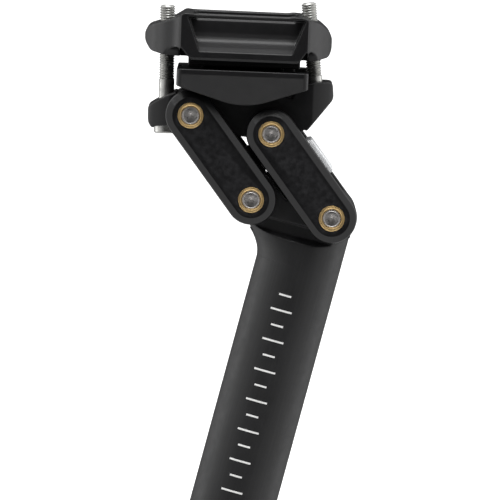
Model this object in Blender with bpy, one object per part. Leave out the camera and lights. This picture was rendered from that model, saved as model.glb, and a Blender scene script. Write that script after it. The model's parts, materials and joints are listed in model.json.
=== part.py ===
"""Suspension seatpost: a 27.2 mm post whose saddle clamp rides on a parallelogram of two links.

Metres, +Z up along the tube. The origin is the centre of the tube's lower end. -Y is the left side
of the bicycle and +X its rear. The outlines below are worked out in millimetres and scaled by MM.
"""

import math

import bmesh
import bpy
from mathutils import Matrix, Vector

MM = 0.001
GAP = 0.3

# Driving dimensions, in millimetres.
TUBE_RADIUS = 13.6
TUBE_BORE = 11.7
TUBE_STEPS = 64
SWELL_Z = 222.0
SWELL_RATE = 0.061
SHELL_TOP_Z = 237.0
PAD_BOTTOM_Z = 235.8
ROOF_Z = 238.0
ROOF_SLOPE = 0.54
RELIEF_INNER = 10.6
RAIL_CENTRE = (-34.31, 282.21)
RAIL_TILT = math.radians(12.9)
RAIL_RADIUS = 3.5
RAIL_SPACING = 44.0

# Linkage pivots as (x, z). The upper pair is the lower pair moved by one link vector.
LOWER_FRONT = (-20.3, 240.3)
LINK_LENGTH = 33.0
LINK_ANGLE = math.radians(140.8)
PIVOT_STEP = (26.3, 1.0)
LINK_VECTOR = (LINK_LENGTH * math.cos(LINK_ANGLE), LINK_LENGTH * math.sin(LINK_ANGLE))
LOWER_REAR = (LOWER_FRONT[0] + PIVOT_STEP[0], LOWER_FRONT[1] + PIVOT_STEP[1])
UPPER_FRONT = (LOWER_FRONT[0] + LINK_VECTOR[0], LOWER_FRONT[1] + LINK_VECTOR[1])
UPPER_REAR = (LOWER_REAR[0] + LINK_VECTOR[0], LOWER_REAR[1] + LINK_VECTOR[1])

# Widths across the linkage, measured from the middle plane.
SLOT_HALF = 6.0
YOKE_HALF = 14.0
BASE_HALF = 13.5
PLATE_INNER = 14.5
PLATE_OUTER = 20.5
PLATE_RADIUS = 8.0
PIN_RADIUS = 3.0
BUSH_RADIUS = 4.0

# Spring lever inside the yoke.
LEVER_ARM = 14.0
LEVER_ANGLE = math.radians(30.0)
ROLLER_RADIUS = 4.0
PLUNGER_TOP_Z = LOWER_FRONT[1] + LEVER_ARM * math.sin(LEVER_ANGLE) - ROLLER_RADIUS - GAP

# Spring column inside the tube, from the bottom up.
PLUG_BOTTOM_Z = 3.0
PLUG_TOP_Z = 13.0
SEAT_TOP_Z = 18.0
SPRING_TOP_Z = 134.0
CAP_TOP_Z = 139.0
ROD_TOP_Z = 205.0
PISTON_TOP_Z = 228.0
TURN_STEPS = 10

# Saddle clamp, in the frame of the rail centre: u along the rails, w square to them.
ROCKER_CENTRE_W = 7.0
ROCKER_RADIUS = 20.0
DECK_HALF_LENGTH = 20.9
BOLT_RADIUS = 2.5
FRONT_BOLT = ((-23.9, -19.4), (-24.8, 16.3))
REAR_BOLT = ((23.6, -10.2), (20.3, 18.8))
CLAMP_BOLTS = (FRONT_BOLT, REAR_BOLT)
# Radius and height of each bolt head.
BOLT_HEADS = ((3.9, 6.0), (3.4, 3.0))
NUT_OUTER = (-29.4, 26.6)
NUT_W = 5.0


def clear_scene():
    for thing in list(bpy.data.objects):
        bpy.data.objects.remove(thing, do_unlink=True)


def make_material(name, colour, roughness, metallic):
    material = bpy.data.materials.new(name)
    material.use_nodes = True
    shader = material.node_tree.nodes["Principled BSDF"]
    shader.inputs["Base Color"].default_value = (*colour, 1.0)
    shader.inputs["Roughness"].default_value = roughness
    shader.inputs["Metallic"].default_value = metallic
    return material


def make_empty(name, point, tilt=0.0):
    """An empty on a joint axis, at (x, z) in the middle plane."""
    empty = bpy.data.objects.new(name, None)
    bpy.context.scene.collection.objects.link(empty)
    empty.location = (point[0] * MM, 0.0, point[1] * MM)
    empty.rotation_euler = (0.0, -tilt, 0.0)
    return empty


def mesh_object(name, bm):
    bmesh.ops.remove_doubles(bm, verts=bm.verts, dist=1e-6)
    bmesh.ops.recalc_face_normals(bm, faces=bm.faces)
    mesh = bpy.data.meshes.new(name)
    bm.to_mesh(mesh)
    bm.free()
    thing = bpy.data.objects.new(name, mesh)
    bpy.context.scene.collection.objects.link(thing)
    return thing


def arc(centre, radius, start, end, steps):
    """Points on an arc about (x, z), angles in degrees from +X towards +Z."""
    points = []
    for i in range(steps + 1):
        angle = math.radians(start + (end - start) * i / steps)
        points.append((centre[0] + radius * math.cos(angle), centre[1] + radius * math.sin(angle)))
    return points


def stadium(first, second, radius, steps=12):
    """The outline of a flat bar with round ends, from one centre to the other."""
    heading = math.degrees(math.atan2(second[1] - first[1], second[0] - first[0]))
    outline = arc(second, radius, heading - 90.0, heading + 90.0, steps)
    return outline + arc(first, radius, heading + 90.0, heading + 270.0, steps)


def along(first, second, distance, offset=0.0):
    """The point at a distance from first towards second, and offset to the left of that line."""
    dx, dz = second[0] - first[0], second[1] - first[1]
    length = math.hypot(dx, dz)
    dx, dz = dx / length, dz / length
    return (first[0] + dx * distance - dz * offset, first[1] + dz * distance + dx * offset)


def prism(name, outline, low, high):
    """An (x, z) outline extruded along Y from low to high."""
    bm = bmesh.new()
    bottom = [bm.verts.new((x * MM, low * MM, z * MM)) for x, z in outline]
    face = bm.faces.new(bottom)
    grown = bmesh.ops.extrude_face_region(bm, geom=[face])
    moved = [item for item in grown["geom"] if isinstance(item, bmesh.types.BMVert)]
    bmesh.ops.translate(bm, verts=moved, vec=(0.0, (high - low) * MM, 0.0))
    return mesh_object(name, bm)


def prism_along_x(name, outline, low, high):
    """A (y, z) outline extruded along X from low to high."""
    thing = prism(name, outline, low, high)
    thing.data.transform(Matrix.Rotation(math.radians(90.0), 4, "Z"))
    return thing


def prism_along_z(name, outline, low, high):
    """An (x, y) outline extruded along Z from low to high."""
    thing = prism(name, [(x, -y) for x, y in outline], low, high)
    thing.data.transform(Matrix.Rotation(math.radians(90.0), 4, "X"))
    return thing


def box(name, low, high):
    outline = [(low[0], low[2]), (high[0], low[2]), (high[0], high[2]), (low[0], high[2])]
    return prism(name, outline, low[1], high[1])


def turned(name, profile, steps=32):
    """A closed (radius, height) profile spun about Z, for a piece that has no sharp centre."""
    bm = bmesh.new()
    verts = [bm.verts.new((radius * MM, 0.0, height * MM)) for radius, height in profile]
    edges = [bm.edges.new((verts[i], verts[i + 1])) for i in range(len(verts) - 1)]
    if profile[0][0] > 0.0:
        edges.append(bm.edges.new((verts[-1], verts[0])))
    bmesh.ops.spin(
        bm, geom=verts + edges, cent=(0, 0, 0), axis=(0, 0, 1), angle=math.tau, steps=steps
    )
    return mesh_object(name, bm)


def rod(name, radius, low, high, steps=32, chamfer=0.0):
    profile = [(0.0, low), (radius - chamfer, low), (radius, low + chamfer)]
    profile += [(radius, high - chamfer), (radius - chamfer, high), (0.0, high)]
    if not chamfer:
        profile = [(0.0, low), (radius, low), (radius, high), (0.0, high)]
    return turned(name, profile, steps)


def ring(name, inner, outer, low, high, steps=32):
    return turned(name, [(inner, low), (outer, low), (outer, high), (inner, high)], steps)


def lay_across(thing, point=(0.0, 0.0)):
    """Turns a piece that was made along Z to lie along Y, through (x, z)."""
    turn = Matrix.Rotation(math.radians(-90.0), 4, "X")
    move = Matrix.Translation(Vector((point[0] * MM, 0.0, point[1] * MM)))
    thing.data.transform(move @ turn)
    return thing


def stand_along(thing, foot, top):
    """Turns a piece that was made along Z to stand on foot and point to top, both (x, z)."""
    lean = math.atan2(top[0] - foot[0], top[1] - foot[1])
    move = Matrix.Translation(Vector((foot[0] * MM, 0.0, foot[1] * MM)))
    thing.data.transform(move @ Matrix.Rotation(lean, 4, "Y"))
    return thing


def bake_modifiers(thing):
    graph = bpy.context.evaluated_depsgraph_get()
    mesh = bpy.data.meshes.new_from_object(thing.evaluated_get(graph))
    thing.modifiers.clear()
    thing.data = mesh
    return thing


def combine(thing, others, operation):
    """Unites the others with thing, or cuts them from it, and removes them."""
    for other in others:
        modifier = thing.modifiers.new(operation.title(), "BOOLEAN")
        modifier.operation = operation
        modifier.solver = "EXACT"
        modifier.object = other
    bake_modifiers(thing)
    for other in others:
        bpy.data.objects.remove(other, do_unlink=True)
    return thing


def unite(thing, *others):
    return combine(thing, others, "UNION")


def cut(thing, *others):
    return combine(thing, others, "DIFFERENCE")


def keep_inside(thing, *others):
    return combine(thing, others, "INTERSECT")


def soften(thing, width, segments=2, limit=50.0):
    """Rounds the edges that are sharper than limit degrees."""
    modifier = thing.modifiers.new("Rounded", "BEVEL")
    modifier.width = width * MM
    modifier.segments = segments
    modifier.limit_method = "ANGLE"
    modifier.angle_limit = math.radians(limit)
    return bake_modifiers(thing)


def finish(thing, name, material, parent=None):
    """Names a piece, colours it, shades it smooth and hangs it on its joint's empty."""
    thing.name = name
    thing.data.name = name
    thing.data.materials.clear()
    thing.data.materials.append(material)
    thing.data.shade_smooth()
    thing.data.set_sharp_from_angle(angle=math.radians(35.0))
    if parent:
        thing.parent = parent
    return thing


def relative(point, origin):
    return (point[0] - origin[0], point[1] - origin[1])


def in_clamp_frame(point):
    """World (x, z) as (u, w) in the frame of the rail centre."""
    dx, dz = relative(point, RAIL_CENTRE)
    u = dx * math.cos(RAIL_TILT) + dz * math.sin(RAIL_TILT)
    w = dz * math.cos(RAIL_TILT) - dx * math.sin(RAIL_TILT)
    return (u, w)


def cross_hole(radius, point, reach=30.0, steps=32):
    return lay_across(rod("hole", radius, -reach, reach, steps), point)


def yoke_pad_outline():
    """Side view of the two pivot bosses and the flat between them, above the relief."""
    outline = [(TUBE_RADIUS - 0.2, PAD_BOTTOM_Z), (TUBE_RADIUS - 0.2, LOWER_REAR[1] - 2.0)]
    outline += arc(LOWER_REAR, 8.2, 0.0, 118.0, 9)
    outline += [(-3.5, 243.0), (-9.5, 242.9)]
    outline += arc(LOWER_FRONT, 8.8, 38.0, 210.0, 14)
    return outline


def make_yoke_relief(side):
    """The hollow below each pad: a step into the cheek above a roof that slopes out to the tube."""
    top = PAD_BOTTOM_Z + GAP
    roof = [(RELIEF_INNER, top), (RELIEF_INNER, ROOF_Z - ROOF_SLOPE * RELIEF_INNER)]
    roof += [(16.0, ROOF_Z - ROOF_SLOPE * 16.0), (16.0, top)]
    return prism_along_x("relief", [(side * y, z) for y, z in roof], -30.0, 30.0)


def make_tube_shell():
    """The solid tube, whose top swells forward in a smooth sweep to carry the front pivot."""
    heights = [0.0, 0.6, SWELL_Z] + [SWELL_Z + (SHELL_TOP_Z - SWELL_Z) * i / 8 for i in range(1, 9)]
    bm = bmesh.new()
    rings = []
    for height in heights:
        radius = TUBE_RADIUS - 0.6 if height == 0.0 else TUBE_RADIUS
        swell = SWELL_RATE * max(0.0, height - SWELL_Z) ** 2
        square = 1.0 - 0.95 * max(0.0, height - SWELL_Z) / (SHELL_TOP_Z - SWELL_Z)
        points = []
        for i in range(TUBE_STEPS):
            angle = math.tau * i / TUBE_STEPS
            x = radius * math.cos(angle)
            if x < -0.01:
                x = -(radius + swell) * (-math.cos(angle)) ** square
            points.append(bm.verts.new((x * MM, radius * math.sin(angle) * MM, height * MM)))
        rings.append(points)
    for low, high in zip(rings, rings[1:]):
        for i in range(TUBE_STEPS):
            n = (i + 1) % TUBE_STEPS
            bm.faces.new((low[i], low[n], high[n], high[i]))
    bm.faces.new(rings[0])
    bm.faces.new(rings[-1])
    return mesh_object("shell", bm)


def make_seat_post(material):
    """Tube and yoke, forged in one. The yoke is a fork that straddles the spring lever."""
    pads = soften(prism("pads", yoke_pad_outline(), -YOKE_HALF, YOKE_HALF), 0.8)
    post = unite(make_tube_shell(), pads)
    bore = rod("bore", TUBE_BORE, -1.0, PISTON_TOP_Z, 48)
    slot = [(-40.0, 234.2), (-25.0, 234.2), (-13.2, 228.4), (2.0, PISTON_TOP_Z - 4.0)]
    slot += [(2.0, 270.0), (-40.0, 270.0)]
    slot = prism("slot", slot, -SLOT_HALF, SLOT_HALF)
    post = cut(post, bore, slot, make_yoke_relief(-1), make_yoke_relief(1))
    holes = [cross_hole(PIN_RADIUS + GAP, point) for point in (LOWER_FRONT, LOWER_REAR)]
    return finish(cut(post, *holes), "seat_post", material)


def make_pin(name, point, material, parent=None):
    pin = rod(name, PIN_RADIUS, -PLATE_OUTER + 0.1, PLATE_OUTER - 0.1, 24, 0.4)
    return finish(lay_across(pin, point), name, material, parent)


def make_plate(first, second, side):
    """One side plate of a link, with a broad rounded rim."""
    low, high = sorted((side * PLATE_INNER, side * PLATE_OUTER))
    return soften(prism("plate", stadium(first, second, PLATE_RADIUS, 16), low, high), 2.0)


def bush_holes(first, second):
    holes = []
    for point in (first, second):
        for side in (-1, 1):
            hole = rod("hole", BUSH_RADIUS + GAP, 12.0, 24.0)
            lay_across(hole, point)
            if side < 0:
                hole.data.transform(Matrix.Scale(-1.0, 4, Vector((0.0, 1.0, 0.0))))
                hole.data.flip_normals()
            holes.append(hole)
    return holes


def make_front_link(material, parent):
    """Both front plates, the bridge between them and the spring lever, in one piece."""
    lower, upper = (0.0, 0.0), LINK_VECTOR
    tip = (LEVER_ARM * math.cos(LEVER_ANGLE), LEVER_ARM * math.sin(LEVER_ANGLE))
    bridge_point = along(lower, upper, 15.5)
    link = make_plate(lower, upper, -1)
    bridge = lay_across(rod("bridge", 4.6, -16.0, 16.0), bridge_point)
    web = prism("web", stadium(lower, bridge_point, 4.3), -5.0, 5.0)
    hub = lay_across(rod("hub", 5.8, -5.3, 5.3), lower)
    arm = prism("arm", stadium(lower, tip, 3.0), -5.15, 5.15)
    corners = [along(upper, lower, s, t) for s, t in ((18.4, 2.0), (29.0, 2.0), (29.0, 8.9), (19.2, 8.9))]
    rib = prism("rib", corners, -4.8, 4.8)
    unite(link, make_plate(lower, upper, 1), bridge, web, hub, arm, rib)
    clear = lay_across(rod("clear", ROLLER_RADIUS + 0.5, -2.6, 2.6), tip)
    pin_hole = cross_hole(PIN_RADIUS + GAP, lower, 8.0)
    roller_pin_hole = cross_hole(1.5 + GAP, tip, 6.0, 20)
    cut(link, clear)
    cut(link, pin_hole, roller_pin_hole, *bush_holes(lower, upper))
    return finish(link, "front_link", material, parent)


def make_rear_link(material, parent):
    """Both rear plates and the web between them, in one piece."""
    lower, upper = (0.0, 0.0), LINK_VECTOR
    link = make_plate(lower, upper, -1)
    corners = [along(upper, lower, s, t) for s, t in ((8.6, 4.6), (21.5, 4.6), (21.5, 7.2), (8.6, 7.2))]
    web = prism("web", corners, -16.0, 16.0)
    unite(link, make_plate(lower, upper, 1), web)
    cut(link, *bush_holes(lower, upper))
    return finish(link, "rear_link", material, parent)


def make_link_label(material, parent):
    """A plain pale strip along the outer face of the rear link's web."""
    corners = [along(LINK_VECTOR, (0.0, 0.0), s, t)
               for s, t in ((8.6, 7.5), (21.5, 7.5), (21.0, 9.3), (9.4, 9.3))]
    return finish(prism("label", corners, -13.2, 13.2), "rear_link_label", material, parent)


def make_bushes(link, material, parent):
    """A plain bronze bush in each of the four holes of one link."""
    for height, point in (("lower", (0.0, 0.0)), ("upper", LINK_VECTOR)):
        for hand, side in (("left", -1), ("right", 1)):
            low, high = sorted((side * (PLATE_INNER - 0.2), side * (PLATE_OUTER - 0.2)))
            bush = ring("bush", PIN_RADIUS + GAP, BUSH_RADIUS, low, high, 24)
            lay_across(bush, point)
            finish(bush, f"{link}_{height}_bush_{hand}", material, parent)


def make_lever_roller(steel, parent):
    tip = (LEVER_ARM * math.cos(LEVER_ANGLE), LEVER_ARM * math.sin(LEVER_ANGLE))
    roller = lay_across(ring("roller", 1.5 + GAP, ROLLER_RADIUS, -2.3, 2.3), tip)
    finish(roller, "lever_roller", steel, parent)
    pin = lay_across(rod("pin", 1.5, -5.1, 5.1, 20), tip)
    finish(pin, "lever_roller_pin", steel, parent)


def make_plunger(material):
    """Piston in the tube, with a block on top that the roller pushes down."""
    piston = rod("piston", 10.0, ROD_TOP_Z + GAP, PISTON_TOP_Z, 40, 0.8)
    block = box("block", (-8.7, -4.3, PISTON_TOP_Z - 2.0), (1.0, 4.3, PLUNGER_TOP_Z))
    return finish(unite(piston, block), "spring_plunger", material)


def make_spring(name, coil_radius, wire_radius, low, high, turns, material, sides=6):
    """A helix of round wire, with flat ends closed off square to the wire."""
    steps = turns * TURN_STEPS
    bm = bmesh.new()
    rows = []
    for i in range(steps + 1):
        angle = math.tau * turns * i / steps
        rise = low + wire_radius + (high - low - 2.0 * wire_radius) * i / steps
        row = []
        for k in range(sides):
            around = math.tau * k / sides
            reach = coil_radius + wire_radius * math.cos(around)
            height = rise + wire_radius * math.sin(around)
            row.append(bm.verts.new((reach * math.cos(angle) * MM, reach * math.sin(angle) * MM,
                                     height * MM)))
        rows.append(row)
    for i in range(steps):
        for k in range(sides):
            n = (k + 1) % sides
            bm.faces.new((rows[i][k], rows[i][n], rows[i + 1][n], rows[i + 1][k]))
    bm.faces.new(rows[0])
    bm.faces.new(rows[-1])
    return finish(mesh_object(name, bm), name, material)


def make_spring_column(steel, alloy, rubber, bronze):
    """Everything inside the tube below the plunger, and the bush that guides the plunger."""
    guide = ring("guide", 10.3, TUBE_BORE - GAP, 206.0, 222.0, 40)
    finish(guide, "plunger_guide_bush", bronze)
    push_rod = rod("push_rod", 4.0, CAP_TOP_Z + GAP, ROD_TOP_Z, 24, 0.5)
    finish(push_rod, "push_rod", steel)
    stem_bottom = SPRING_TOP_Z - 60.0
    cap = turned("cap", [(0.0, stem_bottom), (3.0, stem_bottom), (3.0, SPRING_TOP_Z + GAP),
                         (10.9, SPRING_TOP_Z + GAP), (10.9, CAP_TOP_Z), (0.0, CAP_TOP_Z)], 32)
    finish(cap, "spring_cap", alloy)
    seat = rod("seat", 11.2, PLUG_TOP_Z + GAP, SEAT_TOP_Z, 32, 0.6)
    finish(seat, "spring_seat", alloy)
    bumper = rod("bumper", 3.0, SEAT_TOP_Z + GAP, SEAT_TOP_Z + 24.0, 20, 0.8)
    finish(bumper, "bottom_out_bumper", rubber)
    make_spring("main_spring", 8.9, 1.75, SEAT_TOP_Z + GAP, SPRING_TOP_Z, 13, steel)
    make_spring("inner_spring", 5.2, 1.0, SEAT_TOP_Z + GAP, SPRING_TOP_Z, 14, steel, 5)


def make_preload_plug(alloy, rubber):
    """Screw plug in the tube's foot, with a hexagon socket below and a seal in its groove."""
    groove_low, groove_high = PLUG_BOTTOM_Z + 4.0, PLUG_BOTTOM_Z + 6.4
    wall = TUBE_BORE - GAP
    plug = turned("plug", [(0.0, PLUG_BOTTOM_Z), (wall, PLUG_BOTTOM_Z), (wall, groove_low),
                           (9.8, groove_low), (9.8, groove_high), (wall, groove_high),
                           (wall, PLUG_TOP_Z), (0.0, PLUG_TOP_Z)], 40)
    socket = rod("socket", 4.6, PLUG_BOTTOM_Z - 2.0, PLUG_BOTTOM_Z + 6.0, 6)
    finish(cut(plug, socket), "preload_plug", alloy)
    seal = ring("seal", 10.1, TUBE_BORE - 0.2, groove_low + GAP, groove_high - GAP, 40)
    finish(seal, "preload_plug_seal", rubber)


def bolt_passage(foot, top, radius, below=8.0):
    """A hole along a clamp bolt, from below its head to above its tip."""
    length = math.hypot(top[0] - foot[0], top[1] - foot[1])
    return stand_along(rod("passage", radius, -below, length + 8.0, 28), foot, top)


def mirrored(half_outline):
    """Closes a half outline, given on the left side, with its mirror image."""
    return half_outline + [(x, -y) for x, y in reversed(half_outline)]


def make_clamp_base(material, parent):
    """The head of the linkage: two pivot bosses, a hollow seat for the cradle and two bolt ears."""
    front, rear = in_clamp_frame(UPPER_FRONT), in_clamp_frame(UPPER_REAR)
    outline = [(-27.9, -23.2), (-29.6, -21.2), (-29.8, -15.8), (-24.4, -12.5), (-20.2, -10.6), (-14.6, -10.3)]
    outline += arc((0.0, ROCKER_CENTRE_W), ROCKER_RADIUS + GAP, 236.0, 304.0, 14)
    outline += [(16.0, -10.6), (19.8, -7.2), (22.7, -6.2), (28.3, -6.0), (29.0, -6.8), (29.4, -11.4)]
    outline += [(20.9, -22.2)]
    outline += arc(rear, 7.6, -30.0, -108.0, 9)
    outline += [(2.0, -24.4), (-5.0, -24.0)]
    outline += arc(front, 7.6, -58.0, -150.0, 10)
    body = prism("body", outline, -BASE_HALF, BASE_HALF)
    plan = [(-31.0, -7.6), (-29.2, -10.2), (-26.0, -12.3), (-21.0, -14.2), (21.0, -14.2), (25.5, -12.3)]
    plan += [(28.8, -10.0), (31.0, -7.0)]
    keep_inside(body, prism_along_z("plan", mirrored(plan), -40.0, 10.0))
    holes = [cross_hole(PIN_RADIUS + GAP, point) for point in (front, rear)]
    for bolt, (radius, _height) in zip(CLAMP_BOLTS, BOLT_HEADS):
        stepped = [(0.0, -16.0), (radius + GAP, -16.0), (radius + GAP, 0.0), (BOLT_RADIUS + 0.4, 0.0),
                   (BOLT_RADIUS + 0.4, 20.0), (0.0, 20.0)]
        holes.append(stand_along(turned("stepped", stepped, 26), *bolt))
    cut(body, *holes)
    return finish(body, "clamp_base", material, parent)


def make_clamp_bolt(name, bolt, head, material, parent):
    """Socket-head bolt. Its foot is the face that the washer bears on."""
    foot, top = bolt
    radius, height = head
    length = math.hypot(top[0] - foot[0], top[1] - foot[1])
    profile = [(0.0, -height), (radius - 0.5, -height), (radius, 0.5 - height), (radius, -1.4)]
    profile += [(BOLT_RADIUS, -1.4), (BOLT_RADIUS, length - 0.5), (BOLT_RADIUS - 0.5, length), (0.0, length)]
    piece = turned(name, profile, 28)
    cut(piece, rod("socket", 2.0, -8.0, 0.8 - height, 6))
    return finish(stand_along(piece, foot, top), name, material, parent)


def make_washer(name, bolt, head, material, parent):
    washer = ring(name, BOLT_RADIUS + GAP, head[0], -1.15, -GAP, 28)
    return finish(stand_along(washer, *bolt), name, material, parent)


def rail_groove(side):
    reach = DECK_HALF_LENGTH + 5.0
    groove = rod("groove", RAIL_RADIUS + 0.15, -reach, reach, 28)
    turn = Matrix.Rotation(math.radians(90.0), 4, "Y")
    groove.data.transform(Matrix.Translation(Vector((0.0, side * RAIL_SPACING / 2 * MM, 0.0))) @ turn)
    return groove


def make_lower_cradle(material, parent):
    """The lower half of the rail clamp. It rocks on the base, and its cheeks hang beside the links."""
    half = DECK_HALF_LENGTH
    deck = box("deck", (-half, -26.0, -8.2), (half, 26.0, -3.0))
    rocker_side = arc((0.0, ROCKER_CENTRE_W), ROCKER_RADIUS, 237.0, 303.0, 14)
    rocker = prism("rocker", rocker_side + [(10.0, -5.0), (-10.0, -5.0)], -13.0, 13.0)
    cheek_side = [(half - 0.2, -3.3), (half - 0.2, -8.3)] + arc((0.5, 9.4), 23.3, -70.0, -110.0, 8)
    cheek_side += [(0.2 - half, -8.5), (0.2 - half, -3.3)]
    parts = [rocker]
    for side in (-1, 1):
        low, high = sorted((side * 21.0, side * 25.9))
        parts.append(prism("cheek", cheek_side, low, high))
    unite(deck, *parts)
    plan = mirrored([(-half - 0.1, -24.0), (1.9 - half, -26.1), (half - 1.9, -26.1), (half + 0.1, -24.0)])
    keep_inside(deck, prism_along_z("plan", plan, -20.0, 5.0))
    rear_notch = box("notch", (16.4, -14.2, -12.0), (40.0, 14.2, 0.0))
    front_notch = box("notch", (-40.0, -3.4, -12.0), (-19.4, 3.4, 0.0))
    pocket = box("pocket", (-13.0, -16.0, -5.0), (13.0, 16.0, 0.0))
    cut(deck, rail_groove(-1), rail_groove(1), rear_notch, front_notch, soften(pocket, 1.0))
    return finish(deck, "lower_cradle", material, parent)


def make_dish(side):
    """The hollow in one side of the upper clamp: a steep back wall swept out over the rail."""
    sweep = [(27.5, 2.6), (26.0, 2.7), (24.6, 3.5), (22.4, 4.9), (20.2, 6.4), (18.5, 8.2), (17.4, 10.2)]
    sweep += [(17.1, 13.0), (27.5, 13.8)]
    dish = prism_along_x("dish", [(side * y, w) for y, w in sweep], -19.0, 20.5)
    frame = [(-13.6, 1.4), (15.0, 1.4), (20.1, 14.9), (-18.5, 14.9)]
    return keep_inside(dish, prism("frame", frame, -30.0, 30.0))


def make_upper_clamp(material, parent):
    """A frame with a dish in each side, an open pan on top and a lobe round each bolt."""
    side_view = [(-20.0, 0.7), (-25.0, 0.9), (-29.6, 2.0), (-31.5, 5.0), (-31.6, 8.0), (-30.2, 10.1)]
    side_view += [(-27.8, 10.8), (-22.6, 12.5), (-20.4, 13.8), (-18.9, 14.8), (-17.0, 14.5), (14.0, 14.4)]
    side_view += [(15.6, 14.7), (18.8, 14.5), (20.9, 13.6), (23.9, 12.9), (26.8, 10.6), (28.1, 8.2)]
    side_view += [(28.1, 4.4), (27.2, 1.9), (22.9, 0.8), (20.4, 0.7)]
    clamp = prism("block", side_view, -26.0, 26.0)
    plan = [(-32.0, -4.0), (-31.4, -7.6), (-29.0, -12.2), (-25.5, -16.6), (-22.0, -20.4), (-20.3, -23.6)]
    plan += [(-20.2, -26.5), (20.5, -26.5), (20.6, -23.6), (22.0, -19.4), (24.6, -14.2), (26.8, -9.6)]
    plan += [(28.0, -6.4), (28.6, -3.6)]
    keep_inside(clamp, prism_along_z("plan", mirrored(plan), -5.0, 20.0))
    cutters = []
    for side in (-1, 1):
        low, high = sorted((side * 14.0, side * 30.0))
        for u, reach in ((-20.1, -16.8), (20.3, 17.6)):
            lean = [(u, -3.0), (reach, -3.0), (reach, 0.3), (u, 4.2)]
            cutters.append(prism("lean", lean, low, high))
    cut(clamp, *cutters)
    under = box("under", (-17.4, -17.2, -2.1), (18.2, 17.2, 2.0))
    lip = box("lip", (-16.5, -25.9, -0.1), (17.3, 25.9, 1.7))
    unite(clamp, under, lip)
    cut(clamp, make_dish(-1), make_dish(1))
    pan = mirrored([(-16.4, -12.4), (-13.4, -15.4), (14.2, -15.4), (17.2, -12.4)])
    skylight = box("skylight", (-15.2, -24.4, 12.7), (16.2, 24.4, 30.0))
    cutters = [prism_along_z("pan", pan, 5.6, 30.0), skylight, rail_groove(-1), rail_groove(1)]
    cutters += [bolt_passage(foot, top, BOLT_RADIUS + 0.9) for foot, top in CLAMP_BOLTS]
    cutters.append(box("pocket", (-35.0, -4.6, NUT_W - 2.9), (-19.6, 4.6, NUT_W + 2.9)))
    cutters.append(box("pocket", (17.0, -4.6, NUT_W - 2.9), (33.0, 4.6, NUT_W + 2.9)))
    cut(clamp, *cutters)
    return finish(clamp, "upper_clamp", material, parent)


def make_clamp_nut(name, bolt, outer, material, parent):
    """A block nut that slides into its lobe from the outer end."""
    foot, top = bolt
    slope = (top[0] - foot[0]) / (top[1] - foot[1])
    centre = foot[0] + slope * (NUT_W - foot[1])
    low, high = sorted((centre - math.copysign(4.2, outer), outer))
    nut = box(name, (low, -4.3, NUT_W - 2.6), (high, 4.3, NUT_W + 2.6))
    cut(nut, bolt_passage(foot, top, BOLT_RADIUS + 0.8))
    return finish(nut, name, material, parent)


def build():
    clear_scene()
    black = make_material("satin_black_alloy", (0.025, 0.026, 0.028), 0.38, 0.6)
    charcoal = make_material("charcoal_tube", (0.045, 0.047, 0.05), 0.5, 0.5)
    steel = make_material("zinc_steel", (0.62, 0.62, 0.6), 0.3, 1.0)
    pin_steel = make_material("turned_steel", (0.42, 0.41, 0.4), 0.35, 1.0)
    bronze = make_material("bush_bronze", (0.66, 0.47, 0.2), 0.35, 1.0)
    alloy = make_material("plain_alloy", (0.55, 0.56, 0.58), 0.4, 1.0)
    rubber = make_material("black_rubber", (0.02, 0.02, 0.02), 0.8, 0.0)
    pale = make_material("pale_label", (0.72, 0.73, 0.74), 0.55, 0.0)

    front_pivot = make_empty("front_link_pivot", LOWER_FRONT)
    rear_pivot = make_empty("rear_link_pivot", LOWER_REAR)
    rail_centre = make_empty("rail_centre", RAIL_CENTRE, RAIL_TILT)

    make_seat_post(charcoal)
    make_pin("lower_front_pin", LOWER_FRONT, pin_steel)
    make_pin("lower_rear_pin", LOWER_REAR, pin_steel)
    make_plunger(alloy)
    make_spring_column(steel, alloy, rubber, bronze)
    make_preload_plug(alloy, rubber)

    make_front_link(black, front_pivot)
    make_bushes("front_link", bronze, front_pivot)
    make_lever_roller(steel, front_pivot)
    make_rear_link(black, rear_pivot)
    make_bushes("rear_link", bronze, rear_pivot)
    make_link_label(pale, rear_pivot)

    make_clamp_base(black, rail_centre)
    make_pin("upper_front_pin", in_clamp_frame(UPPER_FRONT), pin_steel, rail_centre)
    make_pin("upper_rear_pin", in_clamp_frame(UPPER_REAR), pin_steel, rail_centre)
    make_lower_cradle(black, rail_centre)
    make_upper_clamp(black, rail_centre)
    for end, bolt, head, outer in zip(("front", "rear"), CLAMP_BOLTS, BOLT_HEADS, NUT_OUTER):
        make_clamp_bolt(f"{end}_clamp_bolt", bolt, head, steel, rail_centre)
        make_washer(f"{end}_bolt_washer", bolt, head, steel, rail_centre)
        make_clamp_nut(f"{end}_clamp_nut", bolt, outer, pin_steel, rail_centre)


build()
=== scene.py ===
"""The looks of the suspension seatpost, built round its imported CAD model.

Lengths in the shapes are millimetres, scaled by MM. Most clamp pieces are drawn in the clamp's own
frame, u along the saddle rails and w square to them, and then placed by CLAMP_PLACE.
"""

import json
import math

import bmesh
import bpy
from mathutils import Matrix, Vector


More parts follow.
